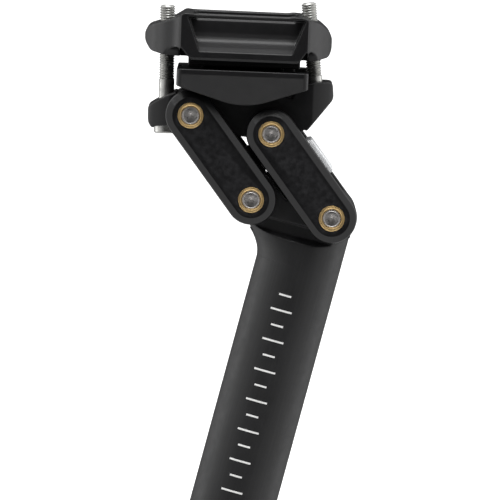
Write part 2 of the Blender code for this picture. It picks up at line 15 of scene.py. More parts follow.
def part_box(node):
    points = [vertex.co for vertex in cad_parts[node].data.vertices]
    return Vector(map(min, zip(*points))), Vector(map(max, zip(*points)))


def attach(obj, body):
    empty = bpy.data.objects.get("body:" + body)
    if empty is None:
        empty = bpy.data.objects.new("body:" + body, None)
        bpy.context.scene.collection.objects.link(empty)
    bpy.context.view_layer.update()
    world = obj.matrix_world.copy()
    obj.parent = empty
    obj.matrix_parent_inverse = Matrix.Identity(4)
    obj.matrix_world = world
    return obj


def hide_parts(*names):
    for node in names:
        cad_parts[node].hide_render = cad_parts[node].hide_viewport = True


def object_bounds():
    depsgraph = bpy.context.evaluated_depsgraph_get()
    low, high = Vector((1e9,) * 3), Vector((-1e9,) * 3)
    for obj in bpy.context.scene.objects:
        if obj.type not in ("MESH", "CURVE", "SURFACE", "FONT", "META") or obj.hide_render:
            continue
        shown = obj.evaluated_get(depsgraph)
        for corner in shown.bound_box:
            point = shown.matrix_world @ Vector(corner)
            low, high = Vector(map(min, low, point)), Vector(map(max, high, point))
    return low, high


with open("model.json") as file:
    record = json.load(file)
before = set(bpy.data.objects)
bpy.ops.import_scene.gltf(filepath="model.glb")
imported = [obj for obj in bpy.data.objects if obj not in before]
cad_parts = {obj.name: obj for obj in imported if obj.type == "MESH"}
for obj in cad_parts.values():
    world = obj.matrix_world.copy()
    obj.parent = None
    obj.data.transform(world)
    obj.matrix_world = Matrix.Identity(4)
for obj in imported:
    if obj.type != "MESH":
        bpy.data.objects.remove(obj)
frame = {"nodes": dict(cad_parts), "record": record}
cad_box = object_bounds()

MM = 0.001
# Clearance round pins and bolt heads, and between pieces that swing past each other.
GAP = 0.3
LEFT, RIGHT = -1, 1


def pin_centre(node):
    """Where a cross pin runs, as (x, z) in millimetres."""
    low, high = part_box(node)
    return ((low[0] + high[0]) / 2.0 / MM, (low[2] + high[2]) / 2.0 / MM)


LOWER_FRONT = pin_centre("lower_front_pin")
LOWER_REAR = pin_centre("lower_rear_pin")
UPPER_FRONT = pin_centre("upper_front_pin")
UPPER_REAR = pin_centre("upper_rear_pin")

# The rail land is a flat just below the rail centre, and its normal is the clamp's own w axis.
LAND_BELOW_RAIL = 3.0
LAND = next(m for m in frame["record"]["mounts"] if m["name"] == "rail_land_left")
RAIL_TILT = math.atan2(-LAND["axis"][0], LAND["axis"][2])
RAIL_CENTRE = (LAND["pos_m"][0] / MM + LAND_BELOW_RAIL * LAND["axis"][0],
               LAND["pos_m"][2] / MM + LAND_BELOW_RAIL * LAND["axis"][2])
CLAMP_PLACE = (Matrix.Translation((RAIL_CENTRE[0] * MM, 0.0, RAIL_CENTRE[1] * MM))
               @ Matrix.Rotation(-RAIL_TILT, 4, "Y"))
RAIL_RADIUS = 3.5
RAIL_SPACING = 44.0

# Post and yoke.
TUBE_RADIUS = 13.6
TUBE_BORE = 11.7
FOOT_CHAMFER = 0.5
SWELL_Z = 222.0
SWELL_RATE = 0.061
SHELL_SQUARENESS = 0.95
SHELL_TOP_Z = 237.0
PAD_BOTTOM_Z = 235.8
ROOF_Z = 238.0
ROOF_SLOPE = 0.54
RELIEF_INNER = 10.6
RELIEF_OUTER = 16.0
SLOT_HALF = 6.0
SLOT_MOUTH_Z = 234.2
YOKE_HALF = 14.0
FRONT_PAD_RADIUS = 8.8
REAR_PAD_RADIUS = 8.2
PISTON_TOP_Z = 228.0
NECK_Z = 212.0
PIN_RADIUS = 3.0

# Links.
PLATE_INNER = 14.5
PLATE_OUTER = 20.5
PLATE_RADIUS = 8.0
RIM_WIDTH = 2.1
RIM_DEPTH = 1.0
PLATE_EASE = 0.7
PLATE_SHARP = 22.0
BUSH_RADIUS = 4.0
BUSH_CLEARANCE = 0.24
LEVER_ARM = 14.0
LEVER_ANGLE = math.radians(30.0)
LEVER_RADIUS = 3.0
LEVER_HALF = 5.15
ROLLER_RADIUS = 4.0
ROLLER_SLOT_HALF = 2.6
ROLLER_PIN_RADIUS = 1.5
BRIDGE_DISTANCE = 15.5
BRIDGE_RADIUS = 4.6
WEB_RADIUS = 4.3
WEB_HALF = 5.0
HUB_RADIUS = 5.8
HUB_HALF = 5.3
RIB_HALF = 4.8
STRIP_HALF = 13.2
# Where the rear link's web and the pale strip on it, a painted reflection, run, measured from the upper
# pivot towards the lower one.
WEB_START, WEB_END = 8.6, 21.5

# Clamp.
BASE_HALF = 13.5
PIVOT_BOSS_RADIUS = 7.6
ROCKER_CENTRE_W = 7.0
ROCKER_RADIUS = 20.0
ROCKER_HALF = 13.0
CLAMP_HALF = 26.0
DECK_HALF_LENGTH = 20.9
DECK_BOTTOM_W = -8.2
FLANK_TOP_W = -4.6
FLANK_SLOPE = 0.22
BOLT_RADIUS = 2.5
THREAD_PITCH = 0.8
THREAD_DEPTH = 0.42
FRONT_BOLT = ((-23.9, -19.4), (-24.8, 16.3))
REAR_BOLT = ((23.6, -10.2), (20.3, 18.8))
# Radius and height of each bolt head.
FRONT_HEAD = (3.9, 5.4)
REAR_HEAD = (3.4, 3.0)
SOCKET_RADIUS = 1.9
SOCKET_DEPTH = 0.6
WASHER_THICKNESS = 1.4
TIP_CHAMFER = 0.75
SHANK_CLEARANCE = 0.4
PASSAGE_CLEARANCE = 0.9
NUT_W = 5.0
NUT_POCKET_HALF_WIDTH = 4.6
NUT_POCKET_HALF_HEIGHT = 2.9


# ---------------------------------------------------------------- shapes

def arc(centre, radius, start, end, steps):
    """Points on an arc about (x, z), angles in degrees from +X towards +Z."""
    points = []
    for i in range(steps + 1):
        angle = math.radians(start + (end - start) * i / steps)
        points.append((centre[0] + radius * math.cos(angle), centre[1] + radius * math.sin(angle)))
    return points


def circle(radius, height, steps):
    """A ring of points about Z at a height."""
    angles = [math.tau * i / steps for i in range(steps)]
    return [(radius * math.cos(angle), radius * math.sin(angle), height) for angle in angles]


def stadium(first, second, radius, steps=36):
    """The outline of a flat bar with round ends, from one centre to the other."""
    heading = math.degrees(math.atan2(second[1] - first[1], second[0] - first[0]))
    outline = arc(second, radius, heading - 90.0, heading + 90.0, steps)
    return outline + arc(first, radius, heading + 90.0, heading + 270.0, steps)


def along(first, second, distance, offset=0.0):
    """The point at a distance from first towards second, and offset to the left of that line."""
    dx, dz = second[0] - first[0], second[1] - first[1]
    length = math.hypot(dx, dz)
    dx, dz = dx / length, dz / length
    return (first[0] + dx * distance - dz * offset, first[1] + dz * distance + dx * offset)


def beside(first, second, corners):
    """An outline whose corners are given as (distance, offset) from first towards second."""
    return [along(first, second, distance, offset) for distance, offset in corners]


def new_object(name, bm):
    """Turns a bmesh in metres into an object with outward faces."""
    bmesh.ops.remove_doubles(bm, verts=bm.verts, dist=1e-6)
    bmesh.ops.recalc_face_normals(bm, faces=bm.faces)
    mesh = bpy.data.meshes.new(name)
    bm.to_mesh(mesh)
    bm.free()
    thing = bpy.data.objects.new(name, mesh)
    bpy.context.scene.collection.objects.link(thing)
    return thing


def loft(name, rings, closed=False):
    """Joins rings of equal length, in millimetres, and caps both ends unless the loft is closed."""
    bm = bmesh.new()
    rows = [[bm.verts.new(Vector(point) * MM) for point in row] for row in rings]
    if closed:
        rows.append(rows[0])
    count = len(rows[0])
    for low, high in zip(rows, rows[1:]):
        for i in range(count):
            n = (i + 1) % count
            bm.faces.new((low[i], low[n], high[n], high[i]))
    if not closed:
        bm.faces.new(rows[0])
        bm.faces.new(rows[-1])
    return new_object(name, bm)


def prism(name, outline, low, high):
    """An (x, z) outline extruded along Y from low to high."""
    return loft(name, [[(x, y, z) for x, z in outline] for y in (low, high)])


def prism_along_x(name, outline, low, high):
    """A (y, z) outline extruded along X from low to high."""
    return loft(name, [[(x, y, z) for y, z in outline] for x in (low, high)])


def prism_along_z(name, outline, low, high):
    """An (x, y) outline extruded along Z from low to high."""
    return loft(name, [[(x, y, z) for x, y in outline] for z in (low, high)])


def rounded(outline, radius, steps=5):
    """The outline with every corner eased over about radius millimetres."""
    points = []
    for before, corner, after in zip(outline[-1:] + outline[:-1], outline, outline[1:] + outline[:1]):
        ends = []
        for other in (before, after):
            length = math.hypot(other[0] - corner[0], other[1] - corner[1])
            reach = min(radius / length, 0.45)
            ends.append([corner[k] + (other[k] - corner[k]) * reach for k in (0, 1)])
        for i in range(steps + 1):
            t = i / steps
            points.append(tuple((1 - t) ** 2 * ends[0][k] + 2 * t * (1 - t) * corner[k] + t ** 2 * ends[1][k]
                                for k in (0, 1)))
    return points


def both_sides(half_outline):
    """Closes a half outline, given from front to rear on the left, with its mirror image."""
    return half_outline + [(x, -y) for x, y in reversed(half_outline)]


def on_side(side, inner, outer):
    """The stretch of y between two distances from the middle, on the left or right, low end first."""
    return sorted((side * inner, side * outer))


def box(name, low, high):
    """A block between two opposite corners."""
    outline = [(low[0], low[2]), (high[0], low[2]), (high[0], high[2]), (low[0], high[2])]
    return prism(name, outline, low[1], high[1])


def turned(name, profile, steps=96):
    """A closed (radius, height) profile spun about Z."""
    bm = bmesh.new()
    verts = [bm.verts.new((radius * MM, 0.0, height * MM)) for radius, height in profile]
    edges = [bm.edges.new((verts[i], verts[i + 1])) for i in range(len(verts) - 1)]
    if profile[0][0] > 0.0:
        edges.append(bm.edges.new((verts[-1], verts[0])))
    bmesh.ops.spin(bm, geom=verts + edges, cent=(0, 0, 0), axis=(0, 0, 1), angle=math.tau, steps=steps)
    return new_object(name, bm)


def rod(name, radius, low, high, steps=64):
    """A plain cylinder about Z."""
    return turned(name, [(0.0, low), (radius, low), (radius, high), (0.0, high)], steps)


def across(point, side=RIGHT):
    """The place of a piece made along Z that is to lie along Y through (x, z), facing side."""
    turn = Matrix.Rotation(math.radians(-90.0 * side), 4, "X")
    return Matrix.Translation((point[0] * MM, 0.0, point[1] * MM)) @ turn


def standing(foot, top):
    """The place of a piece made along Z that is to stand on foot and point to top, both (x, z)."""
    lean = math.atan2(top[0] - foot[0], top[1] - foot[1])
    return Matrix.Translation((foot[0] * MM, 0.0, foot[1] * MM)) @ Matrix.Rotation(lean, 4, "Y")


def placed(thing, place):
    """Moves a piece's mesh, rather than its object, to place."""
    thing.data.transform(place)
    return thing


def cross_rod(radius, point, reach=30.0):
    """A cylinder along Y through (x, z), reaching as far to both sides."""
    return placed(rod("cross", radius, -reach, reach), across(point))


def bake_modifiers(thing):
    """Turns what a piece's modifiers show into its mesh."""
    graph = bpy.context.evaluated_depsgraph_get()
    mesh = bpy.data.meshes.new_from_object(thing.evaluated_get(graph))
    thing.modifiers.clear()
    thing.data = mesh
    return thing


def combine(thing, others, operation):
    """Unites the others with thing, or cuts them from it, and removes them."""
    for other in others:
        modifier = thing.modifiers.new(operation.title(), "BOOLEAN")
        modifier.operation = operation
        modifier.solver = "EXACT"
        modifier.object = other
    bake_modifiers(thing)
    for other in others:
        bpy.data.objects.remove(other, do_unlink=True)
    return thing


def unite(thing, *others):
    return combine(thing, others, "UNION")


def cut(thing, *others):
    return combine(thing, others, "DIFFERENCE")


def keep_inside(thing, *others):
    return combine(thing, others, "INTERSECT")


def soften(thing, width, segments=3, limit=40.0):
    """Rounds the edges that are sharper than limit degrees."""
    modifier = thing.modifiers.new("Rounded", "BEVEL")
    modifier.width = width * MM
    modifier.segments = segments
    modifier.limit_method = "ANGLE"
    modifier.angle_limit = math.radians(limit)
    return bake_modifiers(thing)


def forge(thing, grain, passes):
    """Gives a rough solid one fine skin and eases its edges, as forging and blasting do."""
    skin = thing.modifiers.new("Skin", "REMESH")
    skin.mode = "VOXEL"
    skin.voxel_size = grain * MM
    ease = thing.modifiers.new("Ease", "SMOOTH")
    ease.factor = 0.5
    ease.iterations = passes
    return bake_modifiers(thing)


def show(thing, name, material, body, *nodes, place=None, sharp=30.0):
    """Finishes a piece: name, material, shading, the body it rides on and the nodes it replaces."""
    thing.name = name
    thing.data.name = name
    thing.data.materials.clear()
    thing.data.materials.append(material)
    thing.data.shade_smooth()
    if sharp:
        thing.data.set_sharp_from_angle(angle=math.radians(sharp))
    if place:
        thing.matrix_world = place
    bpy.context.view_layer.update()
    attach(thing, body)
    if nodes:
        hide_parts(*nodes)
    return thing


# ---------------------------------------------------------------- materials

class Surface:
    """A Principled material whose colour, roughness and relief come from procedural nodes."""

    def __init__(self, name, metallic=0.0):
        self.material = bpy.data.materials.new(name)
        self.material.use_nodes = True
        self.tree = self.material.node_tree
        self.shader = self.tree.nodes["Principled BSDF"]
        self.shader.inputs["Metallic"].default_value = metallic
        self.place = self.node("ShaderNodeTexCoord").outputs["Object"]

    def node(self, kind, **inputs):
        node = self.tree.nodes.new(kind)
        for name, value in inputs.items():
            self.join(value, node.inputs[name.replace("_", " ")])
        return node

    def join(self, value, socket):
        if isinstance(value, bpy.types.NodeSocket):
            self.tree.links.new(value, socket)
        else:
            socket.default_value = value

    def math(self, operation, first, second=0.0):
        node = self.tree.nodes.new("ShaderNodeMath")
        node.operation = operation
        self.join(first, node.inputs[0])
        self.join(second, node.inputs[1])
        return node.outputs[0]

    def stretched(self, scale):
        """The piece's own coordinates, scaled on each axis."""
        return self.node("ShaderNodeMapping", Vector=self.place, Scale=scale).outputs[0]

    def speckle(self, size, detail=3.0, place=None):
        """Noise whose grains are about size millimetres."""
        return self.node("ShaderNodeTexNoise", Vector=place or self.place, Scale=1.0 / (size * MM),
                         Detail=detail).outputs["Fac"]

    def fade(self, value, low, high, start, end):
        """Turns value from low..high into start..end."""
        node = self.node("ShaderNodeMapRange", Value=value)
        for name, number in zip(("From Min", "From Max", "To Min", "To Max"), (low, high, start, end)):
            node.inputs[name].default_value = number
        return node.outputs[0]

    def patches(self, size, start=0.0, end=1.0, detail=3.0, low=0.3):
        """Cloudy patches about size millimetres across, which run from start to end."""
        return self.fade(self.speckle(size, detail), low, 0.7, start, end)

    def mix(self, factor, first, second):
        """Blends two colours, each a socket or (red, green, blue)."""
        node = self.tree.nodes.new("ShaderNodeMix")
        node.data_type = "RGBA"
        self.join(factor, node.inputs["Factor"])
        for value, name in ((first, "A"), (second, "B")):
            colour = value if isinstance(value, bpy.types.NodeSocket) else (*value, 1.0)
            self.join(colour, node.inputs[name])
        return node.outputs["Result"]

    def colour(self, value):
        self.join(value, self.shader.inputs["Base Color"])

    def roughness(self, value):
        self.join(value, self.shader.inputs["Roughness"])

    def relief(self, height, depth):
        """Bumps the surface by height, 0 to 1, over depth millimetres."""
        bump = self.tree.nodes.new("ShaderNodeBump")
        bump.inputs["Strength"].default_value = 1.0
        bump.inputs["Distance"].default_value = depth * MM
        self.join(height, bump.inputs["Height"])
        self.join(bump.outputs[0], self.shader.inputs["Normal"])

    def edges(self, start, end):
        """1 on outer edges, where a finish wears through, and 0 elsewhere."""
        pointed = self.node("ShaderNodeNewGeometry").outputs["Pointiness"]
        return self.fade(pointed, start, end, 0.0, 1.0)

    def from_axis(self):
        """Distance from the piece's own Z axis, in metres."""
        flat = self.node("ShaderNodeVectorMath", Vector=self.place)
        flat.operation = "MULTIPLY"
        flat.inputs[1].default_value = (1.0, 1.0, 0.0)
        length = self.node("ShaderNodeVectorMath")
        length.operation = "LENGTH"
        self.join(flat.outputs[0], length.inputs[0])
        return length.outputs["Value"]


# How deep each finish's relief is, in millimetres.
BLASTED_DEPTH = 0.012
LATHE_DEPTH = 0.008
SCRATCH_DEPTH = 0.006


def blasted_black(name, dark, light, rough, shine, grain=0.12):
    """Black anodised alloy over a bead-blasted skin, a little paler where its edges are handled."""
    made = Surface(name)
    base = made.mix(made.patches(9.0), dark, light)
    worn = made.math("MULTIPLY", made.edges(0.53, 0.62), made.patches(1.4, 0.15, 0.8, low=0.35))
    made.colour(made.mix(worn, base, (0.05, 0.05, 0.053)))
    made.roughness(made.patches(2.2, rough - 0.02, rough + 0.03, detail=4.0))
    made.relief(made.speckle(grain, 2.0), BLASTED_DEPTH)
    made.shader.inputs["Specular IOR Level"].default_value = shine
    return made.material


def tube_finish():
    """Matt charcoal anodising on a tube that was polished lengthwise before it was blasted."""
    made = Surface("tube_charcoal")
    streak = made.speckle(0.5, 2.0, made.stretched((1.0, 1.0, 0.02)))
    base = made.mix(made.patches(16.0, detail=4.0), (0.0080, 0.0080, 0.0085), (0.0104, 0.0104, 0.0111))
    made.colour(made.mix(made.fade(streak, 0.4, 0.7, 0.0, 0.35), base, (0.016, 0.016, 0.0172)))
    made.shader.inputs["Specular IOR Level"].default_value = 0.38
    made.roughness(made.patches(3.0, 0.44, 0.54, detail=4.0))
    grain = made.math("ADD", made.math("MULTIPLY", made.speckle(0.14, 2.0), 0.8),
                      made.math("MULTIPLY", streak, 0.2))
    made.relief(grain, BLASTED_DEPTH)
    return made.material


def turned_metal(name, colour, deep, rough, pitch, anisotropic=0.0):
    """Metal faced on a lathe: fine rings about the piece's own axis, with patches of tarnish."""
    made = Surface(name, metallic=1.0)
    wave = made.math("SINE", made.math("MULTIPLY", made.from_axis(), math.tau / (pitch * MM)))
    rings = made.fade(wave, -1.0, 1.0, 0.0, 1.0)
    tarnish = made.patches(1.6, 0.0, 0.7, detail=4.0, low=0.35)
    made.colour(made.mix(tarnish, colour, deep))
    made.roughness(made.math("ADD", made.math("MULTIPLY", rings, 0.08),
                             made.patches(0.9, rough, rough + 0.1)))
    made.relief(made.math("ADD", rings, made.math("MULTIPLY", made.speckle(0.12), 0.4)), LATHE_DEPTH)
    if anisotropic:
        made.shader.inputs["Anisotropic"].default_value = anisotropic
        tangent = made.tree.nodes.new("ShaderNodeTangent")
        tangent.direction_type = "RADIAL"
        tangent.axis = "Z"
        made.join(tangent.outputs[0], made.shader.inputs["Tangent"])
    return made.material


def plated_steel(name, colour, dull, rough):
    """Zinc-plated or ground steel: cloudy plating with faint scratches."""
    made = Surface(name, metallic=1.0)
    made.colour(made.mix(made.patches(2.4, detail=5.0, low=0.35), colour, dull))
    made.roughness(made.patches(1.2, rough, rough + 0.14, detail=4.0))
    scratch = made.speckle(0.25, 2.0, made.stretched((1.0, 0.12, 1.0)))
    made.relief(scratch, SCRATCH_DEPTH)
    return made.material


def soft_matt(name, dark, light, rough, grain, depth):
    """Rubber, print, and a pale sheet that paints a reflection: cloudy colour over a fine pebbled face."""
    made = Surface(name)
    made.colour(made.mix(made.patches(3.0, detail=4.0), dark, light))
    made.roughness(made.patches(1.0, rough - 0.06, rough + 0.08))
    made.relief(made.speckle(grain, 3.0), depth)
    return made.material


TUBE = tube_finish()
LINK_BLACK = blasted_black("link_black", (0.0042, 0.0041, 0.0046), (0.0054, 0.0052, 0.0058), 0.30, 0.45)
FORGED_BLACK = blasted_black("forged_black", (0.0060, 0.0059, 0.0064), (0.0082, 0.0080, 0.0087), 0.36, 0.3,
                             0.16)
PIN_FACE = turned_metal("pin_turned_steel", (0.40, 0.385, 0.375), (0.27, 0.255, 0.245), 0.24, 0.30,
                        anisotropic=0.75)
BRONZE = turned_metal("bush_bronze_turned", (0.86, 0.61, 0.29), (0.66, 0.44, 0.18), 0.28, 0.18)
ZINC = plated_steel("zinc_plated", (0.50, 0.50, 0.48), (0.34, 0.34, 0.33), 0.30)
GROUND_STEEL = plated_steel("ground_steel", (0.44, 0.43, 0.42), (0.32, 0.31, 0.30), 0.32)
ALLOY = turned_metal("machined_alloy", (0.58, 0.59, 0.61), (0.42, 0.43, 0.45), 0.32, 0.4)
RUBBER = soft_matt("black_rubber_pebbled", (0.012, 0.012, 0.012), (0.024, 0.024, 0.024), 0.75, 0.2, 0.02)
# The pale material is painted reflection: it stands in for the white backdrop mirrored at a grazing angle in
# the rear link's black web.
PAINTED_REFLECTION_PALE = soft_matt("painted_reflection_pale", (0.62, 0.63, 0.64), (0.74, 0.75, 0.76), 0.5, 0.18, 0.006)
PRINT = soft_matt("printed_mark", (0.72, 0.72, 0.71), (0.82, 0.82, 0.81), 0.6, 0.15, 0.004)


# ---------------------------------------------------------------- post

def make_tube(low_z, high_z):
    """The tube wall between two heights, chamfered at its foot."""
    levels = 24
    foot_z = low_z + FOOT_CHAMFER
    wall = [(TUBE_RADIUS, high_z), (TUBE_BORE, high_z), (TUBE_BORE, low_z)]
    wall.append((TUBE_RADIUS - FOOT_CHAMFER, low_z))
    wall += [(TUBE_RADIUS, foot_z + (high_z - foot_z) * i / levels) for i in range(levels)]
    return turned("tube", wall, 128)


def make_yoke_shell():
    """The top of the tube, whose front swells in a smooth sweep to carry the front pivot."""
    levels, steps = 16, 96
    full_rise = SHELL_TOP_Z - SWELL_Z
    rings = []
    for height in [NECK_Z] + [SWELL_Z + full_rise * i / levels for i in range(levels + 1)]:
        rise = max(0.0, height - SWELL_Z)
        front_reach = TUBE_RADIUS + SWELL_RATE * rise ** 2
        power = 1.0 - SHELL_SQUARENESS * rise / full_rise
        row = []
        for x, y, z in circle(TUBE_RADIUS, height, steps):
            if x < -0.01:
                x = -front_reach * (-x / TUBE_RADIUS) ** power
            row.append((x, y, z))
        rings.append(row)
    return loft("shell", rings)


def make_yoke():
    """The fork: pivot pads on the shell, slotted for the lever, over shoulders that slope outwards."""
    pads = [(TUBE_RADIUS - 0.2, PAD_BOTTOM_Z), (TUBE_RADIUS - 0.2, LOWER_REAR[1] - 2.0)]
    pads += arc(LOWER_REAR, REAR_PAD_RADIUS, 0.0, 118.0, 28)
    pads += [(-3.5, 243.0), (-9.5, 242.9)]
    pads += arc(LOWER_FRONT, FRONT_PAD_RADIUS, 38.0, 210.0, 40)
    yoke = unite(make_yoke_shell(), prism("pads", pads, -YOKE_HALF, YOKE_HALF))
    slot = [(-40.0, SLOT_MOUTH_Z), (-25.0, SLOT_MOUTH_Z), (-13.2, 228.4), (2.0, PISTON_TOP_Z - 4.0)]
    slot += [(2.0, 270.0), (-40.0, 270.0)]
    cutters = [rod("bore", TUBE_BORE, NECK_Z - 5.0, PISTON_TOP_Z, 96),
               prism("slot", slot, -SLOT_HALF, SLOT_HALF)]
    relief_top = PAD_BOTTOM_Z + GAP
    for side in (LEFT, RIGHT):
        roof = [(RELIEF_INNER, relief_top), (RELIEF_INNER, ROOF_Z - ROOF_SLOPE * RELIEF_INNER)]
        roof += [(RELIEF_OUTER, ROOF_Z - ROOF_SLOPE * RELIEF_OUTER), (RELIEF_OUTER, relief_top)]
        cutters.append(prism_along_x("relief", [(side * y, z) for y, z in roof], -30.0, 30.0))
    cut(yoke, *cutters)
    forge(yoke, 0.28, 5)
    # Below the swell the forged skin is drawn back onto the tube, and its foot is made flat.
    for vert in yoke.data.vertices:
        x, y, z = vert.co / MM
        radius = math.hypot(x, y)
        if z < SWELL_Z + 1.0 and abs(radius - TUBE_RADIUS) < 0.4:
            vert.co.x *= TUBE_RADIUS / radius
            vert.co.y *= TUBE_RADIUS / radius
        if z < NECK_Z + 0.5:
            vert.co.z = NECK_Z * MM
    return cut(yoke, cross_rod(PIN_RADIUS + GAP, LOWER_FRONT), cross_rod(PIN_RADIUS + GAP, LOWER_REAR))


yoke = make_yoke()
show(yoke, "post_yoke", TUBE, "post", "seat_post")
tube = make_tube(0.0, NECK_Z + 0.02)
show(tube, "post_tube", TUBE, "post")

# Plain height marks on the left of the tube, in place of any lettering.
MARK_LIFT = 0.05
MARK_MIDDLE = math.radians(-97.0)
MARK_STEP_Z = 5.0
MARK_HEIGHT = 0.6
LONG_MARK, SHORT_MARK = 7.0, 4.0
FIRST_MARK_Z = 148.0
MARK_COUNT = 14


def curved_bar(name, middle, width, low_z, high_z):
    """A thin bar printed on the tube, width millimetres wide round it."""
    steps = 12
    inner, outer = TUBE_RADIUS - MARK_LIFT, TUBE_RADIUS + MARK_LIFT
    half = width / 2.0 / TUBE_RADIUS
    rings = []
    for i in range(steps + 1):
        angle = middle - half + 2.0 * half * i / steps
        section = ((inner, low_z), (outer, low_z), (outer, high_z), (inner, high_z))
        rings.append([(radius * math.cos(angle), radius * math.sin(angle), z) for radius, z in section])
    return loft(name, rings)


for i in range(MARK_COUNT):
    z = FIRST_MARK_Z + MARK_STEP_Z * i
    width = LONG_MARK if i % 2 == 0 else SHORT_MARK
    mark = curved_bar("mark", MARK_MIDDLE, width, z, z + MARK_HEIGHT)
    show(mark, f"height_mark_{i + 1:02d}", PRINT, "post")


# ---------------------------------------------------------------- links

def make_plate(first, second, side):
    """A side plate: flat faces inside a broad crisp chamfer, eased where it meets the edge."""
    inner, outer = PLATE_INNER, PLATE_OUTER
    profile = [(PLATE_RADIUS - PLATE_EASE, inner), (PLATE_RADIUS - 0.2, inner + 0.2),
               (PLATE_RADIUS, inner + PLATE_EASE), (PLATE_RADIUS, outer - RIM_DEPTH - 0.9)]
    profile += [(PLATE_RADIUS - 0.06, outer - RIM_DEPTH - 0.45), (PLATE_RADIUS - 0.28, outer - RIM_DEPTH)]
    profile += [(PLATE_RADIUS - RIM_WIDTH, outer - 0.06), (PLATE_RADIUS - RIM_WIDTH - 0.12, outer)]
    rings = [[(x, side * y, z) for x, z in stadium(first, second, radius)] for radius, y in profile]
    return loft("plate", rings)


def bush_holes(first, second):
    """The four holes for a link's bushes, one at each end of each plate."""
    holes = []
    for point in (first, second):
        for side in (LEFT, RIGHT):
            hole = rod("hole", BUSH_RADIUS + BUSH_CLEARANCE, PLATE_INNER - 2.5, PLATE_OUTER + 3.5, 96)
            holes.append(placed(hole, across(point, side)))
    return holes


def make_front_link():
    """Two plates joined by a bridge, web, hub and rib, with the forked lever that carries the roller."""
    tip = (LOWER_FRONT[0] + LEVER_ARM * math.cos(LEVER_ANGLE),
           LOWER_FRONT[1] + LEVER_ARM * math.sin(LEVER_ANGLE))
    bridge_point = along(LOWER_FRONT, UPPER_FRONT, BRIDGE_DISTANCE)
    link = make_plate(LOWER_FRONT, UPPER_FRONT, LEFT)
    bridge = cross_rod(BRIDGE_RADIUS, bridge_point, 16.0)
    web = prism("web", stadium(LOWER_FRONT, bridge_point, WEB_RADIUS), -WEB_HALF, WEB_HALF)
    hub = cross_rod(HUB_RADIUS, LOWER_FRONT, HUB_HALF)
    arm = prism("arm", stadium(LOWER_FRONT, tip, LEVER_RADIUS), -LEVER_HALF, LEVER_HALF)
    rib_side = beside(UPPER_FRONT, LOWER_FRONT, ((18.4, 2.0), (29.0, 2.0), (29.0, 8.9), (19.2, 8.9)))
    rib = soften(prism("rib", rib_side, -RIB_HALF, RIB_HALF), 0.5)
    unite(link, make_plate(LOWER_FRONT, UPPER_FRONT, RIGHT), bridge, web, hub, arm, rib)
    cut(link, cross_rod(ROLLER_RADIUS + 0.5, tip, ROLLER_SLOT_HALF))
    return cut(link, cross_rod(PIN_RADIUS + GAP, LOWER_FRONT, 8.0),
               cross_rod(ROLLER_PIN_RADIUS + GAP, tip, 6.0), *bush_holes(LOWER_FRONT, UPPER_FRONT))


def make_rear_link():
    """Two plates joined by a flat web along their upper rear edges."""
    link = make_plate(LOWER_REAR, UPPER_REAR, LEFT)
    corners = ((WEB_START, 4.6), (WEB_END, 4.6), (WEB_END, 7.2), (WEB_START, 7.2))
    web = soften(prism("web", beside(UPPER_REAR, LOWER_REAR, corners), -16.0, 16.0), 0.5)
    unite(link, make_plate(LOWER_REAR, UPPER_REAR, RIGHT), web)
    return cut(link, *bush_holes(LOWER_REAR, UPPER_REAR))


def make_painted_reflection_strip():
    """A pale strip that covers the web: a painted reflection, its pale colour standing in for the white
    backdrop mirrored in the black web seen edge-on.
    """
    corners = ((WEB_START, 7.5), (WEB_END, 7.5), (WEB_END - 0.5, 9.3), (WEB_START + 0.8, 9.3))
    return soften(prism("strip", beside(UPPER_REAR, LOWER_REAR, corners), -STRIP_HALF, STRIP_HALF), 0.4)


show(make_front_link(), "front_link_body", LINK_BLACK, "front_link", "front_link", sharp=PLATE_SHARP)
show(make_rear_link(), "rear_link_body", LINK_BLACK, "rear_link", "rear_link", sharp=PLATE_SHARP)
# The pale strip is a painted reflection of the backdrop on the web, not a colour of the link's own.
show(make_painted_reflection_strip(), "rear_link_painted_reflection_strip", PAINTED_REFLECTION_PALE, "rear_link", "rear_link_label")


def make_bush():
    """A plain bearing ring with eased lips, flush with its plate."""
    outer, inner, low, high = BUSH_RADIUS + 0.15, PIN_RADIUS + 0.1, PLATE_INNER - 0.2, PLATE_OUTER
    profile = [(inner, low), (outer, low), (outer, high - 0.2), (outer - 0.1, high - 0.04)]
    profile += [(outer - 0.2, high - 0.01), (inner + 0.14, high - 0.01), (inner + 0.04, high - 0.06)]
    profile += [(inner, high - 0.2)]
    return turned("bush", profile)


PIVOTS = {"front_link": (LOWER_FRONT, UPPER_FRONT), "rear_link": (LOWER_REAR, UPPER_REAR)}
for link, points in PIVOTS.items():
    for height, point in zip(("lower", "upper"), points):
        for hand, side in (("left", LEFT), ("right", RIGHT)):
            node = f"{link}_{height}_bush_{hand}"
            show(make_bush(), f"{node}_ring", BRONZE, link, node, place=across(point, side))


def make_pin():
    """A cross pin with eased ends, a turned land round each face and a faint centre."""
    end = PLATE_OUTER - 0.12
    face = [(0.0, end - 0.07), (0.22, end - 0.07), (0.34, end - 0.02), (2.32, end - 0.02)]
    face += [(2.42, end - 0.09), (2.52, end - 0.02), (2.8, end - 0.04), (2.94, end - 0.14)]
    face += [(PIN_RADIUS, end - 0.34)]
    profile = [(radius, -height) for radius, height in face]
    profile += [(radius, height) for radius, height in reversed(face)]
    return turned("pin", profile)


for node, point, body in (("lower_front_pin", LOWER_FRONT, "post"), ("lower_rear_pin", LOWER_REAR, "post"),
                          ("upper_front_pin", UPPER_FRONT, "head"), ("upper_rear_pin", UPPER_REAR, "head")):
    show(make_pin(), f"{node}_turned", PIN_FACE, body, node, place=across(point))


# ---------------------------------------------------------------- saddle clamp

def bolt_passage(bolt, radius):
    """A straight clear hole along a bolt, past both of its ends."""
    foot, top = bolt
    length = math.hypot(top[0] - foot[0], top[1] - foot[1])
    return placed(rod("passage", radius, -8.0, length + 8.0, 48), standing(foot, top))


